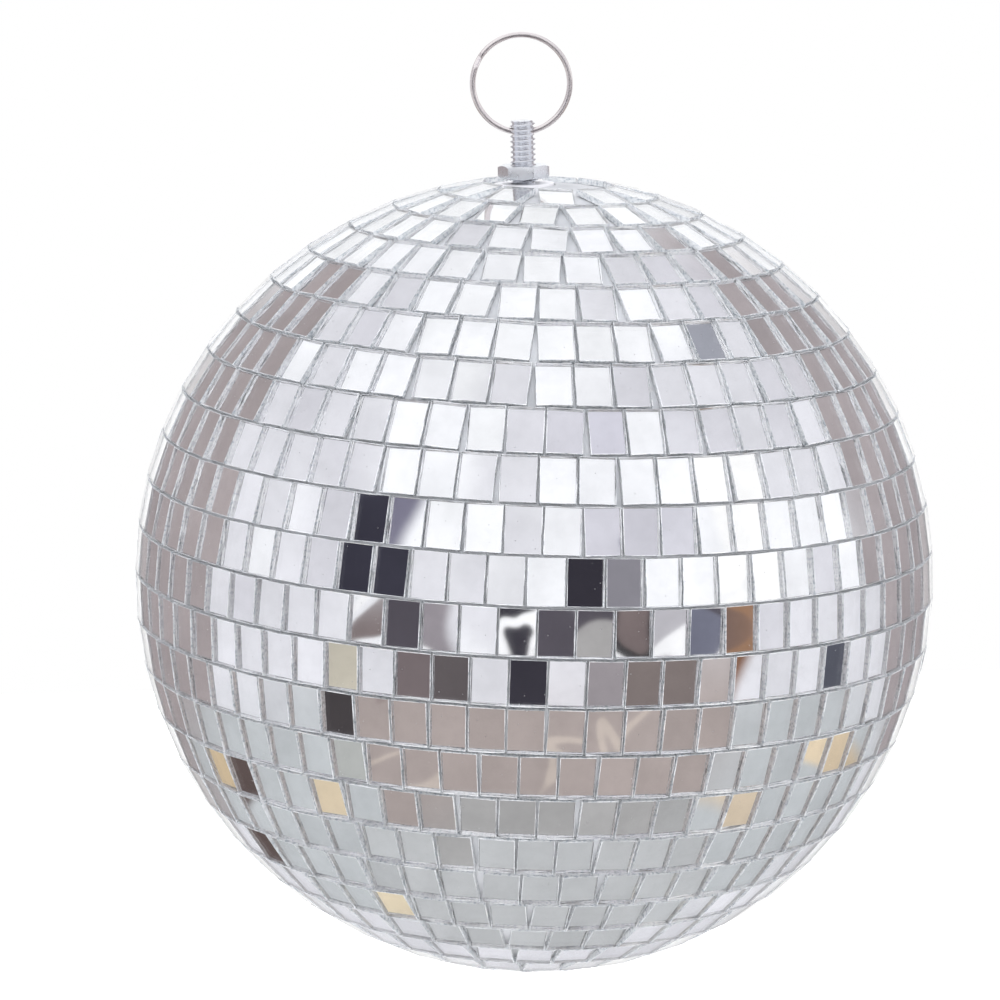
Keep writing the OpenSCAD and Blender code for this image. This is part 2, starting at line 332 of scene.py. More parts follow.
def tileRowTree():
    tree = bpy.data.node_groups.new("mirrorTileRow", "GeometryNodeTree")
    inputSocket(tree, "Geometry", "NodeSocketGeometry")
    for name in ("Width", "Height", "Thickness", "Arris Width", "Arris Depth", "Chip"):
        inputSocket(tree, name, "NodeSocketFloat", 0.001, 0.0)
    inputSocket(tree, "Seed", "NodeSocketInt", 1)
    tree.interface.new_socket(name="Geometry", in_out="OUTPUT", socket_type="NodeSocketGeometry")
    new, link = tree.nodes.new, tree.links.new
    given = new("NodeGroupInput")
    result = new("NodeGroupOutput")

    def calc(operation, a, b):
        node = new("ShaderNodeMath")
        node.operation = operation
        for place, value in enumerate((a, b)):
            if isinstance(value, (int, float)):
                node.inputs[place].default_value = value
            else:
                link(value, node.inputs[place])
        return node.outputs[0]

    def compare(operation, a, b):
        node = new("FunctionNodeCompare")
        node.data_type = "FLOAT"
        node.operation = operation
        link(a, node.inputs[0])
        if isinstance(b, (int, float)):
            node.inputs[1].default_value = b
        else:
            link(b, node.inputs[1])
        return node.outputs[0]

    def both(operation, a, b):
        node = new("FunctionNodeBooleanMath")
        node.operation = operation
        link(a, node.inputs[0])
        link(b, node.inputs[1])
        return node.outputs[0]

    # one tile: a subdivided slab, whose outer loops are moved in to make the arris
    size = new("ShaderNodeCombineXYZ")
    link(given.outputs["Width"], size.inputs[0])
    link(given.outputs["Height"], size.inputs[1])
    link(given.outputs["Thickness"], size.inputs[2])
    slab = new("GeometryNodeMeshCube")
    slab.inputs["Vertices X"].default_value = tileSizes["gridAcross"]
    slab.inputs["Vertices Y"].default_value = tileSizes["gridUp"]
    slab.inputs["Vertices Z"].default_value = tileSizes["gridThrough"]
    link(size.outputs[0], slab.inputs["Size"])

    place = new("GeometryNodeInputPosition")
    xyz = new("ShaderNodeSeparateXYZ")
    link(place.outputs[0], xyz.inputs[0])
    halfW = calc("MULTIPLY", given.outputs["Width"], 0.5)
    halfH = calc("MULTIPLY", given.outputs["Height"], 0.5)
    absX = calc("ABSOLUTE", xyz.outputs[0], 0)
    absY = calc("ABSOLUTE", xyz.outputs[1], 0)
    rimX = compare("GREATER_THAN", absX, calc("MULTIPLY", halfW, 0.9))
    rimY = compare("GREATER_THAN", absY, calc("MULTIPLY", halfH, 0.9))
    rim = both("OR", rimX, rimY)
    front = compare("GREATER_THAN", xyz.outputs[2], 0.0)
    frontRim = both("AND", rim, front)
    nextX = compare("GREATER_THAN", absX, calc("MULTIPLY", halfW, 0.4))
    nextY = compare("GREATER_THAN", absY, calc("MULTIPLY", halfH, 0.5))
    inset = calc("SUBTRACT", halfW, given.outputs["Arris Width"])
    insetY = calc("SUBTRACT", halfH, given.outputs["Arris Width"])
    signX = calc("SIGN", xyz.outputs[0], 0)
    signY = calc("SIGN", xyz.outputs[1], 0)

    def switch(condition, no, yes):
        node = new("GeometryNodeSwitch")
        node.input_type = "FLOAT"
        link(condition, node.inputs["Switch"])
        link(no, node.inputs["False"])
        link(yes, node.inputs["True"])
        return node.outputs[0]

    notX = new("FunctionNodeBooleanMath")
    notX.operation = "NOT"
    link(rimX, notX.inputs[0])
    notY = new("FunctionNodeBooleanMath")
    notY.operation = "NOT"
    link(rimY, notY.inputs[0])
    loopX = both("AND", nextX, notX.outputs[0])
    loopY = both("AND", nextY, notY.outputs[0])
    movedX = switch(loopX, xyz.outputs[0], calc("MULTIPLY", signX, inset))
    movedY = switch(loopY, xyz.outputs[1], calc("MULTIPLY", signY, insetY))
    lowered = calc("SUBTRACT", xyz.outputs[2], given.outputs["Arris Depth"])
    movedZ = switch(frontRim, xyz.outputs[2], lowered)
    moved = new("ShaderNodeCombineXYZ")
    link(movedX, moved.inputs[0])
    link(movedY, moved.inputs[1])
    link(movedZ, moved.inputs[2])
    # the back and the rim are marked while the slab is still square, the front once it has its arris
    normal = new("GeometryNodeInputNormal")
    normalXyz = new("ShaderNodeSeparateXYZ")
    link(normal.outputs[0], normalXyz.inputs[0])
    backFace = compare("LESS_THAN", normalXyz.outputs[2], -0.9)
    storeBack = new("GeometryNodeStoreNamedAttribute")
    storeBack.data_type = "BOOLEAN"
    storeBack.domain = "FACE"
    storeBack.inputs["Name"].default_value = "tileBack"
    link(slab.outputs["Mesh"], storeBack.inputs["Geometry"])
    link(backFace, storeBack.inputs["Value"])
    storeRim = new("GeometryNodeStoreNamedAttribute")
    storeRim.data_type = "BOOLEAN"
    storeRim.domain = "POINT"
    storeRim.inputs["Name"].default_value = "tileRim"
    link(storeBack.outputs["Geometry"], storeRim.inputs["Geometry"])
    link(rim, storeRim.inputs["Value"])
    shape = new("GeometryNodeSetPosition")
    link(storeRim.outputs["Geometry"], shape.inputs["Geometry"])
    link(moved.outputs[0], shape.inputs["Position"])
    shapedNormal = new("GeometryNodeInputNormal")
    shapedXyz = new("ShaderNodeSeparateXYZ")
    link(shapedNormal.outputs[0], shapedXyz.inputs[0])
    frontFace = compare("GREATER_THAN", shapedXyz.outputs[2], 0.95)
    storeFront = new("GeometryNodeStoreNamedAttribute")
    storeFront.data_type = "BOOLEAN"
    storeFront.domain = "FACE"
    storeFront.inputs["Name"].default_value = "tileFront"
    link(shape.outputs["Geometry"], storeFront.inputs["Geometry"])
    link(frontFace, storeFront.inputs["Value"])

    # the row: one tile on each point, turned as the CAD tile is
    turn = new("GeometryNodeInputNamedAttribute")
    turn.data_type = "FLOAT_VECTOR"
    turn.inputs["Name"].default_value = "tileTurn"
    toTurn = new("FunctionNodeEulerToRotation")
    link(turn.outputs["Attribute"], toTurn.inputs[0])
    onPoints = new("GeometryNodeInstanceOnPoints")
    link(given.outputs["Geometry"], onPoints.inputs["Points"])
    link(storeFront.outputs["Geometry"], onPoints.inputs["Instance"])
    link(toTurn.outputs[0], onPoints.inputs["Rotation"])
    realize = new("GeometryNodeRealizeInstances")
    link(onPoints.outputs["Instances"], realize.inputs["Geometry"])

    # broken edges: the rim's points wander by a random amount
    jitter = new("FunctionNodeRandomValue")
    jitter.data_type = "FLOAT_VECTOR"
    jitter.inputs["Min"].default_value = (-1, -1, -1)
    jitter.inputs["Max"].default_value = (1, 1, 1)
    link(given.outputs["Seed"], jitter.inputs["Seed"])
    amount = new("ShaderNodeVectorMath")
    amount.operation = "SCALE"
    link(jitter.outputs[0], amount.inputs[0])
    link(given.outputs["Chip"], amount.inputs["Scale"])
    rimRead = new("GeometryNodeInputNamedAttribute")
    rimRead.data_type = "BOOLEAN"
    rimRead.inputs["Name"].default_value = "tileRim"
    chip = new("GeometryNodeSetPosition")
    link(realize.outputs["Geometry"], chip.inputs["Geometry"])
    link(rimRead.outputs["Attribute"], chip.inputs["Selection"])
    link(amount.outputs[0], chip.inputs["Offset"])

    # glass in front, silver behind, cut edge round the sides
    shown = chip.outputs["Geometry"]
    surfaces = ((None, tileCutEdge), ("tileFront", tileGlass), ("tileBack", tileSilver))
    for attribute, material in surfaces:
        paint = new("GeometryNodeSetMaterial")
        paint.inputs["Material"].default_value = material
        link(shown, paint.inputs["Geometry"])
        if attribute:
            pick = new("GeometryNodeInputNamedAttribute")
            pick.data_type = "BOOLEAN"
            pick.inputs["Name"].default_value = attribute
            link(pick.outputs["Attribute"], paint.inputs["Selection"])
        shown = paint.outputs["Geometry"]
    link(shown, result.inputs["Geometry"])
    return tree


def setInput(modifier, tree, name, value):
    socket = next(s for s in tree.interface.items_tree if s.in_out == "INPUT" and s.name == name)
    modifier[socket.identifier] = value


# runs a tree on an object and gives back a plain mesh object
def meshFromTree(obj, tree, values, name):
    modifier = obj.modifiers.new("build", "NODES")
    modifier.node_group = tree
    for key, value in values.items():
        setInput(modifier, tree, key, value)
    graph = bpy.context.evaluated_depsgraph_get()
    mesh = bpy.data.meshes.new_from_object(obj.evaluated_get(graph), depsgraph=graph)
    mesh.name = name
    made = bpy.data.objects.new(name, mesh)
    bpy.context.scene.collection.objects.link(made)
    bpy.data.objects.remove(obj)
    for attribute in [a.name for a in mesh.attributes if a.name.startswith("tile")]:
        mesh.attributes.remove(mesh.attributes[attribute])
    return made


def tilePoints(name, places):
    mesh = bpy.data.meshes.new(name)
    mesh.from_pydata([centre for centre, turn, size in places], [], [])
    turns = mesh.attributes.new("tileTurn", "FLOAT_VECTOR", "POINT")
    turns.data.foreach_set("vector", [v for centre, turn, size in places for v in turn.to_euler()])
    obj = bpy.data.objects.new(name, mesh)
    bpy.context.scene.collection.objects.link(obj)
    return obj


tileTree = tileRowTree()
for index, rowName in enumerate(rowNames()):
    places = [tilePlace(corners) for corners in looseTiles(rowName)]
    width, height, thickness = np.median([size for centre, turn, size in places], axis=0)
    pieceName = "tiles" + "".join(part.capitalize() for part in rowName.split("_")[2:])
    row = meshFromTree(tilePoints(pieceName, places), tileTree, {
        "Width": float(width), "Height": float(height), "Thickness": float(thickness),
        "Arris Width": tileSizes["arrisWidth"], "Arris Depth": tileSizes["arrisDepth"],
        "Chip": tileSizes["chip"], "Seed": tileSizes["seed"] + index,
    }, pieceName)
    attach(row, "ball")
    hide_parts(rowName)
print("mirror rows made:", len(rowNames()))


softEdges = {
    "nutEdge": 0.22 * mm,
    "tileEdge": 0.12 * mm,
    "sharpAbove": 35,  # degrees between faces that get a softened edge
    "nutSmooth": 32,
}


def softened(nodeName, pieceName, width, segments, materials, choose=None):
    work = bmesh.new()
    work.from_mesh(nodes[nodeName].data)
    bmesh.ops.remove_doubles(work, verts=work.verts, dist=0.002 * mm)
    bmesh.ops.dissolve_limit(work, angle_limit=0.02, verts=work.verts, edges=work.edges)
    mesh = bpy.data.meshes.new(pieceName)
    work.to_mesh(mesh)
    work.free()
    rough = bpy.data.objects.new(pieceName, mesh)
    bpy.context.scene.collection.objects.link(rough)
    bevel = rough.modifiers.new("edges", "BEVEL")
    bevel.width = width
    bevel.segments = segments
    bevel.limit_method = "ANGLE"
    bevel.angle_limit = math.radians(softEdges["sharpAbove"])
    graph = bpy.context.evaluated_depsgraph_get()
    done = bpy.data.meshes.new_from_object(rough.evaluated_get(graph), depsgraph=graph)
    done.name = pieceName
    bpy.data.objects.remove(rough)
    piece = bpy.data.objects.new(pieceName, done)
    bpy.context.scene.collection.objects.link(piece)
    done.materials.clear()
    for material in materials:
        done.materials.append(material)
    if choose:
        for face in done.polygons:
            face.material_index = choose(face)
    return piece


def smoothByAngle(piece, degrees):
    mesh = piece.data
    mesh.shade_smooth()
    work = bmesh.new()
    work.from_mesh(mesh)
    limit = math.radians(degrees)
    for edge in work.edges:
        edge.smooth = len(edge.link_faces) == 2 and edge.calc_face_angle(0) < limit
    work.to_mesh(mesh)
    work.free()


def poleTileMaterial(face):
    out = (Vector(face.center) - ballCentre).normalized().dot(face.normal)
    return 0 if out > 0.9 else 1 if out < -0.9 else 2


poleTiles = softened("south_pole_tiles", "tilesSouthPole", softEdges["tileEdge"], 1,
                     (tileGlass, tileSilver, tileCutEdge), poleTileMaterial)
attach(poleTiles, "ball")
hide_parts("south_pole_tiles")

for nutName, bodyName in (("lock_nut", "nut"), ("inner_nut", "ball")):
    nutPiece = softened(nutName, "zinc" + "".join(p.capitalize() for p in nutName.split("_")),
                        softEdges["nutEdge"], 3, (zincNut,))
    smoothByAngle(nutPiece, softEdges["nutSmooth"])
    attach(nutPiece, bodyName)
    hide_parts(nutName)
print("pole tiles and nuts made")


studSizes = {
    "pitch": 1.27 * mm,
    "threadDepth": 0.62 * mm,
    "chamfer": 0.5 * mm,
    "stepsPerPitch": 10,
    "around": 40,
    "rootFlat": 0.12,  # part of the groove that is flat
    "flankGain": 1.32,
    "holeSides": 40,
    "smooth": 28,
}


# a grid rolled into a rod: across the grid is round the stud, up the grid is along it
def studTree():
    tree = bpy.data.node_groups.new("threadedRod", "GeometryNodeTree")
    for name in ("Radius", "Length", "Pitch", "Step", "Depth", "Chamfer"):
        inputSocket(tree, name, "NodeSocketFloat", 0.001, 0.0)
    for name in ("Around", "Along"):
        inputSocket(tree, name, "NodeSocketInt", 32, 3)
    tree.interface.new_socket(name="Geometry", in_out="OUTPUT", socket_type="NodeSocketGeometry")
    new, link = tree.nodes.new, tree.links.new
    given = new("NodeGroupInput")
    result = new("NodeGroupOutput")

    def calc(operation, *values):
        node = new("ShaderNodeMath")
        node.operation = operation
        for place, value in enumerate(values):
            if isinstance(value, (int, float)):
                node.inputs[place].default_value = value
            else:
                link(value, node.inputs[place])
        return node.outputs[0]

    grid = new("GeometryNodeMeshGrid")
    grid.inputs["Size X"].default_value = 1
    grid.inputs["Size Y"].default_value = 1
    link(given.outputs["Around"], grid.inputs["Vertices X"])
    link(given.outputs["Along"], grid.inputs["Vertices Y"])
    place = new("GeometryNodeInputPosition")
    xyz = new("ShaderNodeSeparateXYZ")
    link(place.outputs[0], xyz.inputs[0])
    turnPart = calc("ADD", xyz.outputs[0], 0.5)
    alongPart = calc("ADD", xyz.outputs[1], 0.5)
    angle = calc("MULTIPLY", turnPart, 2 * math.pi)

    # each line of the grid climbs one pitch as it goes round, and is stopped at the rod's ends
    endSteps = calc("MULTIPLY", given.outputs["Step"], 2.0)
    reach = calc("ADD", given.outputs["Length"], calc("ADD", given.outputs["Pitch"], endSteps))
    travel = calc("MULTIPLY", alongPart, reach)
    climb = calc("MULTIPLY", calc("SUBTRACT", turnPart, 1.0), given.outputs["Pitch"])
    free = calc("SUBTRACT", calc("ADD", travel, climb), given.outputs["Step"])
    height = calc("MINIMUM", calc("MAXIMUM", free, 0.0), given.outputs["Length"])

    # a triangle wave with small flats along the rod
    turns = calc("DIVIDE", travel, given.outputs["Pitch"])
    wave = calc("ABSOLUTE", calc("SUBTRACT", calc("MULTIPLY", calc("FRACT", turns), 2.0), 1.0))
    flank = calc("MULTIPLY", calc("SUBTRACT", wave, studSizes["rootFlat"]), studSizes["flankGain"])
    ridge = calc("MINIMUM", calc("MAXIMUM", flank, 0.0), 1.0)
    cut = calc("MULTIPLY", calc("SUBTRACT", 1.0, ridge), given.outputs["Depth"])
    threaded = calc("SUBTRACT", given.outputs["Radius"], cut)
    toEnd = calc("MINIMUM", height, calc("SUBTRACT", given.outputs["Length"], height))
    endRadius = calc("ADD", calc("SUBTRACT", given.outputs["Radius"], given.outputs["Chamfer"]), toEnd)
    radius = calc("MINIMUM", threaded, endRadius)
    atEnd = calc("LESS_THAN", toEnd, 1e-6)
    rim = calc("SUBTRACT", endRadius, calc("MULTIPLY", given.outputs["Depth"], 0.25))
    radius = calc("ADD", calc("MULTIPLY", radius, calc("SUBTRACT", 1.0, atEnd)), calc("MULTIPLY", rim, atEnd))
    inside = calc("LESS_THAN", calc("ABSOLUTE", xyz.outputs[1]), 0.49999)
    radius = calc("MULTIPLY", radius, inside)
    rolled = new("ShaderNodeCombineXYZ")
    link(calc("MULTIPLY", radius, calc("COSINE", angle)), rolled.inputs[0])
    link(calc("MULTIPLY", radius, calc("SINE", angle)), rolled.inputs[1])
    link(height, rolled.inputs[2])
    roll = new("GeometryNodeSetPosition")
    link(grid.outputs["Mesh"], roll.inputs["Geometry"])
    link(rolled.outputs[0], roll.inputs["Position"])
    close = new("GeometryNodeMergeByDistance")
    close.inputs["Distance"].default_value = 1e-6
    link(roll.outputs["Geometry"], close.inputs["Geometry"])
    realize = new("GeometryNodeRealizeInstances")
    link(close.outputs["Geometry"], realize.inputs["Geometry"])
    paint = new("GeometryNodeSetMaterial")
    paint.inputs["Material"].default_value = zincStud
    link(realize.outputs["Geometry"], paint.inputs["Geometry"])
    link(paint.outputs["Geometry"], result.inputs["Geometry"])
    return tree


def placeholder(name):
    obj = bpy.data.objects.new(name, bpy.data.meshes.new(name))
    bpy.context.scene.collection.objects.link(obj)
    return obj


# radius of the cross hole, from the CAD stud's points nearest the hole's axis
def eyeRadius():
    points = np.array([v.co[:] for v in nodes["hanging_stud"].data.vertices])
    near = np.hypot(points[:, 1], points[:, 2] - eyeHeight)
    belowTop = points[:, 2] < studHigh.z - studSizes["chamfer"] - 0.1 * mm
    hole = near[(near < (studHigh.x - studLow.x) / 2 * 0.8) & belowTop]
    return float(hole.min())


def makeStud():
    radius = (studHigh.x - studLow.x) / 2
    length = studHigh.z - studLow.z
    steps = studSizes["stepsPerPitch"]
    lines = round(length / studSizes["pitch"] * steps)
    pitch = length / lines * steps
    stud = meshFromTree(placeholder("threadedStud"), studTree(), {
        "Radius": radius, "Length": length, "Pitch": pitch, "Step": pitch / steps,
        "Depth": studSizes["threadDepth"], "Chamfer": studSizes["chamfer"],
        "Around": studSizes["around"] + 1, "Along": lines + steps + 3,
    }, "threadedStud")
    stud.data.transform(Matrix.Translation((0, 0, studLow.z)))
    work = bmesh.new()
    work.from_mesh(stud.data)
    bmesh.ops.recalc_face_normals(work, faces=work.faces)
    work.to_mesh(stud.data)
    work.free()

    # cross hole for the split ring
    work = bmesh.new()
    holeRadius = eyeRadius()
    across = Matrix.Translation((0, 0, eyeHeight)) @ Matrix.Rotation(math.pi / 2, 4, "Y")
    bmesh.ops.create_cone(work, cap_ends=True, segments=studSizes["holeSides"], radius1=holeRadius,
                          radius2=holeRadius, depth=4 * radius, matrix=across)
    drillMesh = bpy.data.meshes.new("drill")
    work.to_mesh(drillMesh)
    work.free()
    drill = bpy.data.objects.new("drill", drillMesh)
    bpy.context.scene.collection.objects.link(drill)
    cut = stud.modifiers.new("hole", "BOOLEAN")
    cut.object = drill
    cut.operation = "DIFFERENCE"
    cut.solver = "EXACT"
    graph = bpy.context.evaluated_depsgraph_get()
    mesh = bpy.data.meshes.new_from_object(stud.evaluated_get(graph), depsgraph=graph)
    stud.modifiers.clear()
    stud.data = mesh
    mesh.name = "threadedStud"
    bpy.data.objects.remove(drill)
    mesh.materials.clear()
    mesh.materials.append(zincStud)
    for face in mesh.polygons:
        face.material_index = 0
    smoothByAngle(stud, studSizes["smooth"])
    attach(stud, "ball")
    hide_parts("hanging_stud")


makeStud()
print("threaded stud made")


ringSizes = {
    "wireWidth": 1.4 * mm,  # across the ring's face
    "wireThickness": 0.8 * mm,
    "corner": 0.37 * mm,
    "crossingAt": 152,
    "crossingSpan": 14,
    "stepDegrees": 3,
    "endTaper": 0.86,  # size of the wire's end faces
    "smooth": 50,
}


def roundedSection(width, thickness, corner, perCorner=4):
    points = []
    for quarter in range(4):
        cx = (width / 2 - corner) * (1 if quarter in (0, 3) else -1)
        cy = (thickness / 2 - corner) * (1 if quarter in (0, 1) else -1)
        for k in range(perCorner):
            a = math.radians(90 * quarter + 90 * k / (perCorner - 1))
            points.append((cx + corner * math.cos(a), cy + corner * math.sin(a)))
    return points


def makeRing():
    centre = (ringLow + ringHigh) / 2
    radius = (ringHigh.x - ringLow.x) / 2
    wire = ringSizes["wireWidth"]
    depth = ringHigh.y - ringLow.y
    coilOffset = (depth - ringSizes["wireThickness"]) / 2
    start = ringSizes["crossingAt"] + ringSizes["crossingSpan"] / 2
    firstEnd = start + 360 - ringSizes["crossingSpan"]
    secondStart = start + 360
    last = firstEnd + 360
    steps = round((last - start) / ringSizes["stepDegrees"])
    section = roundedSection(wire, ringSizes["wireThickness"], ringSizes["corner"])
    work = bmesh.new()
    rings = []
    for step in range(steps + 1):
        angle = start + (last - start) * step / steps
        part = min(max((angle - firstEnd) / (secondStart - firstEnd), 0), 1)
        part = part * part * (3 - 2 * part)
        y = centre.y + coilOffset * (1 - 2 * part)
        a = math.radians(angle)
        shrink = ringSizes["endTaper"] if step in (0, steps) else 1.0
        ring = []
        for across, through in section:
            r = radius - wire / 2 + across * shrink
            x, z = centre.x + r * math.cos(a), centre.z + r * math.sin(a)
            ring.append(work.verts.new((x, y + through * shrink, z)))
        rings.append(ring)
    count = len(section)
    for one, two in zip(rings, rings[1:]):
        for k in range(count):
            work.faces.new((one[k], one[(k + 1) % count], two[(k + 1) % count], two[k]))
    work.faces.new(rings[0])
    work.faces.new(list(reversed(rings[-1])))
    bmesh.ops.recalc_face_normals(work, faces=work.faces)
    mesh = bpy.data.meshes.new("splitRing")
    work.to_mesh(mesh)
    work.free()
    mesh.materials.append(nickelWire)
    ring = bpy.data.objects.new("splitRing", mesh)
    bpy.context.scene.collection.objects.link(ring)
    smoothByAngle(ring, ringSizes["smooth"])
    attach(ring, "ring")
    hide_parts("split_ring")


makeRing()
print("split ring made")


def dress(name, material):
    nodes[name].data.materials.clear()
    nodes[name].data.materials.append(material)


nodeFinish = {
    "backing_north": backingCloth,
    "backing_south": backingCloth,
    "core_upper": corePlastic,
    "core_lower": corePlastic,
    "threaded_insert": turnedBrass,
    "wide_washer": washerSteel,
    "spring_washer": washerSteel,
    "inner_nut": zincNut,
    "lock_nut": zincNut,
    "hanging_stud": zincStud,
    "split_ring": nickelWire,
    "south_pole_tiles": tileSilver,
}
for name, material in nodeFinish.items():
    dress(name, material)
for name in rowNames():
    dress(name, tileSilver)
print("CAD nodes dressed")


cameraSet = {
    "distance": 1.0,
    "elevation": 11.3,
    "focal": 3.96,  # focal length over the width of the picture
    "offset": (0.0337, 0.0729),  # ball's centre, right of and below the middle, over the width
    "roll": 1.45,
}


def makeCamera():
    e = math.radians(cameraSet["elevation"])
    back = Vector((0, -math.cos(e), math.sin(e)))
    data = bpy.data.cameras.new("camera")
    data.sensor_width = 36
    data.lens = data.sensor_width * cameraSet["focal"]
    camera = bpy.data.objects.new("camera", data)
    bpy.context.scene.collection.objects.link(camera)
    look = (-back).to_track_quat("-Z", "Y").to_matrix()
    turned = look @ Matrix.Rotation(math.radians(-cameraSet["roll"]), 3, "Z")
    right, up = turned.col[0], turned.col[1]
    distance = cameraSet["distance"]
    shiftX, shiftY = (v / cameraSet["focal"] * distance for v in cameraSet["offset"])
    camera.location = ballCentre + back * distance
    aim = ballCentre - right * shiftX + up * shiftY
    away = (camera.location - aim).normalized()
    side = up.cross(away).normalized()
    camera.rotation_euler = Matrix((side, away.cross(side), away)).transposed().to_euler()
    data.clip_start, data.clip_end = 0.01, 50
    bpy.context.scene.camera = camera
    return camera


makeCamera()


studio = {
    "base": (222, 222, 228),
    "panelLight": (245, 246, 250),
    "panelDark": (208, 207, 215),
    "panelScale": 3.2,
    "unevenScale": 34,
    "uneven": 0.12,
    "clutterScale": 26,
    "wanderScale": 9,
    "wander": 7,
    "reflected": 1.12,
    "lit": 2.7,
    "backdrop": 1.0,
    "floorDrop": 1.3,
    "floorHalf": 6.0,
}

# broad soft areas: azimuth, elevation, radius, softness, colour
studioAreas = [
    (-25, 32, 26, 16, (244, 245, 248)),
    (28, 34, 22, 16, (206, 205, 216)),
    (0, 90, 30, 16, (243, 244, 247)),
]

# drawn over the ceiling's panels, in the same form
studioWalls = [
    (0, -90, 36, 10, (186, 188, 190)),  # floor under the ball
    (-139, 4, 36, 2, (164, 155, 156)),  # wall at the left
    (144, 8, 34, 2, (166, 158, 160)),  # wall at the right
    (180, -5, 26, 8, (255, 255, 255)),  # backdrop behind the ball
    (180, 24, 24, 4, (251, 252, 254)),
]

# clutter: azimuth from and to, elevation from and to, part of the pattern, colour
studioClutter = [
    (-48, 60, -13, 3, 0.6, 1, (86, 82, 90)),
    (-50, 60, -14, 6, 0.395, 0.425, (248, 248, 250)),
    (-60, 66, -13, -3, 0.3, 0.37, (124, 112, 112)),
    (-75, 60, 14, 36, 0.66, 1, (150, 150, 164)),
    (-60, 60, -50, -24, 0.63, 1, (152, 140, 138)),
    (-60, 60, -50, -24, 0.36, 0.385, (196, 184, 176)),
]

# soft cards round the ball: azimuth from and to, elevation from and to, softness, colour
studioCards = [
    (-70, 68, -57, -22, 5, (168, 157, 154)),  # floor in front
    (-66, 66, -72, -56, 5, (167, 166, 166)),
    (-150, -66, -60, -24, 8, (190, 194, 197)),  # table at the left
    (66, 150, -60, -26, 8, (189, 193, 196)),  # table at the right
    (-72, -62, -40, -24, 0.36, (178, 180, 178)),
    (54, 77, -1, 35, 0.24, (255, 255, 255)),  # soft box
    (-17, -8, 1, 16, 0.24, (252, 253, 255)),
    (-55, -50, 4, 28, 0.18, (56, 55, 66)),  # dark stand
    (-47, -41, 5, 28, 0.36, (120, 118, 136)),
    (-50, -40, 3, 14, 0.18, (58, 57, 68)),
    (-45, -36, -10, 2, 0.36, (116, 120, 136)),
    (-34, -27, -9, 1, 0.24, (150, 144, 150)),
    (-26, -17, -11, 1, 0.36, (104, 96, 100)),  # chair
    (-18, -9, -15, -8, 1.2, (250, 251, 253)),
    (-60, -51, -22, -12, 0.36, (196, 190, 176)),
    (-39, -30, -23, -13, 0.24, (118, 108, 110)),
    (-29, -20, -24, -13, 0.24, (96, 90, 92)),
    (-71, -57, -32, -25, 0.36, (70, 66, 68)),
    (-6, 4, -26, 1, 0.18, (56, 54, 62)),  # camera on its stand
    (1.2, 3.6, 1, 9, 0.15, (58, 56, 62)),
    (14, 16, 1, 14, 0.18, (52, 50, 58)),
    (24, 29, 6, 14, 0.24, (140, 138, 146)),
    (14, 35, -12, 1, 0.15, (66, 64, 66)),  # stool
    (15, 34, -7.5, -5.5, 0.18, (168, 166, 166)),
    (21, 24, -12, -1, 0.24, (160, 158, 160)),
    (13, 24, -26, -14, 0.24, (150, 144, 148)),
    (25, 48, -26, -13, 0.24, (128, 118, 116)),
    (35, 45, -12, -2, 0.36, (184, 182, 188)),
    (34, 40, 17, 26, 0.36, (104, 108, 124)),
    (46, 55, -13, -2, 0.24, (116, 118, 134)),
    (56, 66, -13, -2, 0.18, (148, 116, 94)),  # wooden door
    (57, 66, -24, -14, 0.36, (128, 92, 72)),
    (70, 80, -34, -24, 0.48, (236, 216, 204)),
    (90, 106, -25, -12, 0.24, (84, 86, 96)),
    (-103, -98, 8, 12, 0.18, (60, 60, 70)),
    (96, 104, 50, 57, 0.36, (160, 162, 172)),
    (-95, -78, -50, -38, 0.36, (212, 196, 170)),  # wooden legs
    (74, 94, -55, -46, 0.36, (212, 196, 174)),
    (102, 110, -36, -30, 0.24, (226, 208, 180)),
    (116, 132, -36, -30, 0.24, (204, 186, 160)),
    (-132, -108, -37, -31, 0.36, (200, 180, 150)),
    (-146, -118, -37, -33, 0.24, (92, 80, 78)),
    (-150, -134, -62, -56, 0.36, (222, 208, 182)),
]


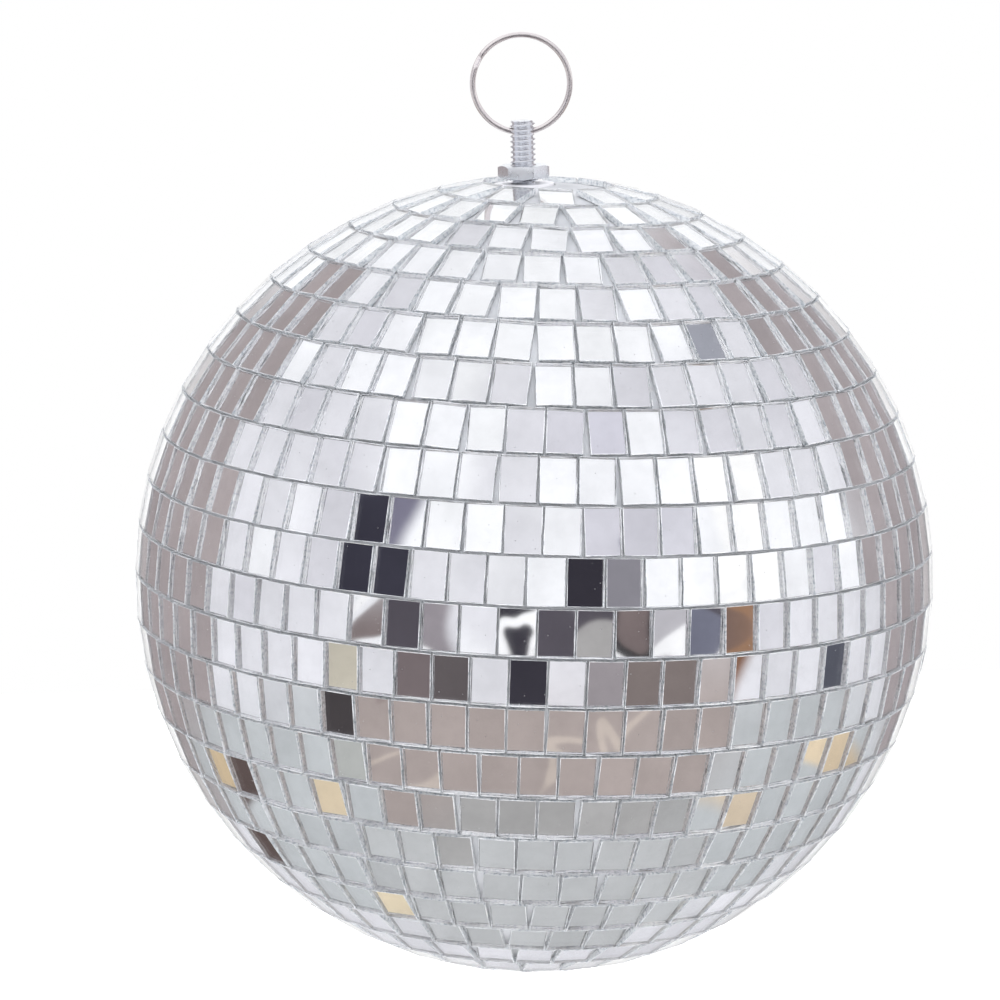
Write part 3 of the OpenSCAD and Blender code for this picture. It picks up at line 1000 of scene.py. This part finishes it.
def studioWorld():
    world = bpy.data.worlds.new("studio")
    world.use_nodes = True
    tree = world.node_tree
    tree.nodes.clear()
    new, link = tree.nodes.new, tree.links.new
    output = new("ShaderNodeOutputWorld")
    coords = new("ShaderNodeTexCoord")
    split = new("ShaderNodeSeparateXYZ")
    link(coords.outputs["Generated"], split.inputs[0])

    def calc(operation, a, b=0.0, clamp=False):
        node = new("ShaderNodeMath")
        node.operation = operation
        node.use_clamp = clamp
        for place, value in enumerate((a, b)):
            if isinstance(value, (int, float)):
                node.inputs[place].default_value = value
            else:
                link(value, node.inputs[place])
        return node.outputs[0]

    forward = calc("MULTIPLY", split.outputs[1], -1)
    azimuth = calc("DEGREES", calc("ARCTAN2", split.outputs[0], forward))
    elevation = calc("DEGREES", calc("ARCSINE", split.outputs[2]))

    def band(value, low, high, soft):
        rise = new("ShaderNodeMapRange")
        rise.interpolation_type = "SMOOTHSTEP"
        rise.inputs["From Min"].default_value = low - soft / 2
        rise.inputs["From Max"].default_value = low + soft / 2
        link(value, rise.inputs["Value"])
        fall = new("ShaderNodeMapRange")
        fall.interpolation_type = "SMOOTHSTEP"
        fall.inputs["From Min"].default_value = high - soft / 2
        fall.inputs["From Max"].default_value = high + soft / 2
        fall.inputs["To Min"].default_value = 1
        fall.inputs["To Max"].default_value = 0
        link(value, fall.inputs["Value"])
        return calc("MULTIPLY", rise.outputs["Result"], fall.outputs["Result"])

    def linear(rgb):
        return tuple(((c / 255 + 0.055) / 1.055) ** 2.4 if c > 10 else c / 255 / 12.92 for c in rgb)

    def blend(shown, mask, colour):
        mix = new("ShaderNodeMix")
        mix.data_type = "RGBA"
        link(mask, mix.inputs[0])
        link(shown, mix.inputs[6])
        mix.inputs[7].default_value = (*linear(colour), 1)
        return mix.outputs[2]

    def disc(az, el, radius, soft):
        a, e = math.radians(az), math.radians(el)
        dot = new("ShaderNodeVectorMath")
        dot.operation = "DOT_PRODUCT"
        link(coords.outputs["Generated"], dot.inputs[0])
        dot.inputs[1].default_value = (math.sin(a) * math.cos(e), -math.cos(a) * math.cos(e), math.sin(e))
        angle = calc("DEGREES", calc("ARCCOSINE", dot.outputs["Value"]))
        return band(angle, -400, radius, soft)

    base = new("ShaderNodeRGB")
    base.outputs[0].default_value = (*linear(studio["base"]), 1)
    shown = base.outputs[0]
    for az, el, radius, soft, colour in studioAreas:
        shown = blend(shown, disc(az, el, radius, soft), colour)
    # panels of the ceiling, a little lighter and darker
    noise = new("ShaderNodeTexNoise")
    noise.inputs["Scale"].default_value = studio["panelScale"]
    noise.inputs["Detail"].default_value = 1
    link(coords.outputs["Generated"], noise.inputs["Vector"])
    above = band(elevation, -12, 200, 4)
    lightPanel = calc("MULTIPLY", band(noise.outputs["Fac"], 0.55, 2, 0.03), above)
    darkPanel = calc("MULTIPLY", band(noise.outputs["Fac"], -1, 0.43, 0.03), calc("MULTIPLY", above, 0.6))
    shown = blend(shown, lightPanel, studio["panelLight"])
    shown = blend(shown, darkPanel, studio["panelDark"])
    for az, el, radius, soft, colour in studioWalls:
        shown = blend(shown, disc(az, el, radius, soft), colour)
    # the edges of what stands in the room are wavy, so each tile cuts them at its own slant
    wander = new("ShaderNodeTexNoise")
    wander.inputs["Scale"].default_value = studio["wanderScale"]
    wander.inputs["Detail"].default_value = 2
    link(coords.outputs["Generated"], wander.inputs["Vector"])
    sway = new("ShaderNodeSeparateColor")
    link(wander.outputs["Color"], sway.inputs[0])
    reach = studio["wander"]
    wavyAzimuth = calc("ADD", azimuth, calc("MULTIPLY", calc("SUBTRACT", sway.outputs[0], 0.5), reach))
    wavyElevation = calc("ADD", elevation, calc("MULTIPLY", calc("SUBTRACT", sway.outputs[1], 0.5), reach))
    for az0, az1, el0, el1, soft, colour in studioCards:
        mask = calc("MULTIPLY", band(wavyAzimuth, az0, az1, soft), band(wavyElevation, el0, el1, soft))
        shown = blend(shown, mask, colour)
    # small clutter at the height of the ball, in front of it
    litter = new("ShaderNodeTexNoise")
    litter.inputs["Scale"].default_value = studio["clutterScale"]
    litter.inputs["Detail"].default_value = 1.5
    litter.inputs["Distortion"].default_value = 0.6
    link(coords.outputs["Generated"], litter.inputs["Vector"])
    for az0, az1, el0, el1, low, high, colour in studioClutter:
        where = calc("MULTIPLY", band(azimuth, az0, az1, 3), band(elevation, el0, el1, 2))
        shown = blend(shown, calc("MULTIPLY", where, band(litter.outputs["Fac"], low, high, 0.008)), colour)
    # everything in the room is a little uneven
    mottle = new("ShaderNodeTexNoise")
    mottle.inputs["Scale"].default_value = studio["unevenScale"]
    mottle.inputs["Detail"].default_value = 5
    link(coords.outputs["Generated"], mottle.inputs["Vector"])
    level = new("ShaderNodeMapRange")
    level.inputs["From Min"].default_value = 0.3
    level.inputs["From Max"].default_value = 0.7
    level.inputs["To Min"].default_value = 1 - studio["uneven"]
    level.inputs["To Max"].default_value = 1 + studio["uneven"]
    link(mottle.outputs["Fac"], level.inputs["Value"])
    path = new("ShaderNodeLightPath")
    strength = new("ShaderNodeMapRange")
    strength.inputs["To Min"].default_value = studio["reflected"]
    strength.inputs["To Max"].default_value = studio["lit"]
    link(path.outputs["Diffuse Depth"], strength.inputs["Value"])
    reflected = new("ShaderNodeBackground")
    link(shown, reflected.inputs["Color"])
    link(calc("MULTIPLY", strength.outputs["Result"], level.outputs["Result"]), reflected.inputs["Strength"])
    plain = new("ShaderNodeBackground")
    plain.inputs["Color"].default_value = (1, 1, 1, 1)
    plain.inputs["Strength"].default_value = studio["backdrop"]
    choose = new("ShaderNodeMixShader")
    link(path.outputs["Is Camera Ray"], choose.inputs[0])
    link(reflected.outputs[0], choose.inputs[1])
    link(plain.outputs[0], choose.inputs[2])
    link(choose.outputs[0], output.inputs["Surface"])
    bpy.context.scene.world = world


studioWorld()


def makeFloor():
    ballBottom = min(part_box(n)[0].z for n in rowNames())
    mesh = bpy.data.meshes.new("floor")
    half = studio["floorHalf"]
    z = ballBottom - studio["floorDrop"]
    corners = [(-half, -half, z), (half, -half, z), (half, half, z), (-half, half, z)]
    mesh.from_pydata(corners, [], [(0, 1, 2, 3)])
    floor = bpy.data.objects.new("floor", mesh)
    bpy.context.scene.collection.objects.link(floor)
    material, shader = principled("paleFloor")
    shader.inputs["Base Color"].default_value = (0.93, 0.93, 0.93, 1)
    shader.inputs["Roughness"].default_value = 0.9
    shader.inputs["Emission Color"].default_value = (1, 1, 1, 1)
    shader.inputs["Emission Strength"].default_value = 0.6
    mesh.materials.append(material)
    floor.visible_glossy = False
    floor.visible_transmission = False


makeFloor()
bpy.context.scene.view_settings.view_transform = "Standard"
print("studio made")
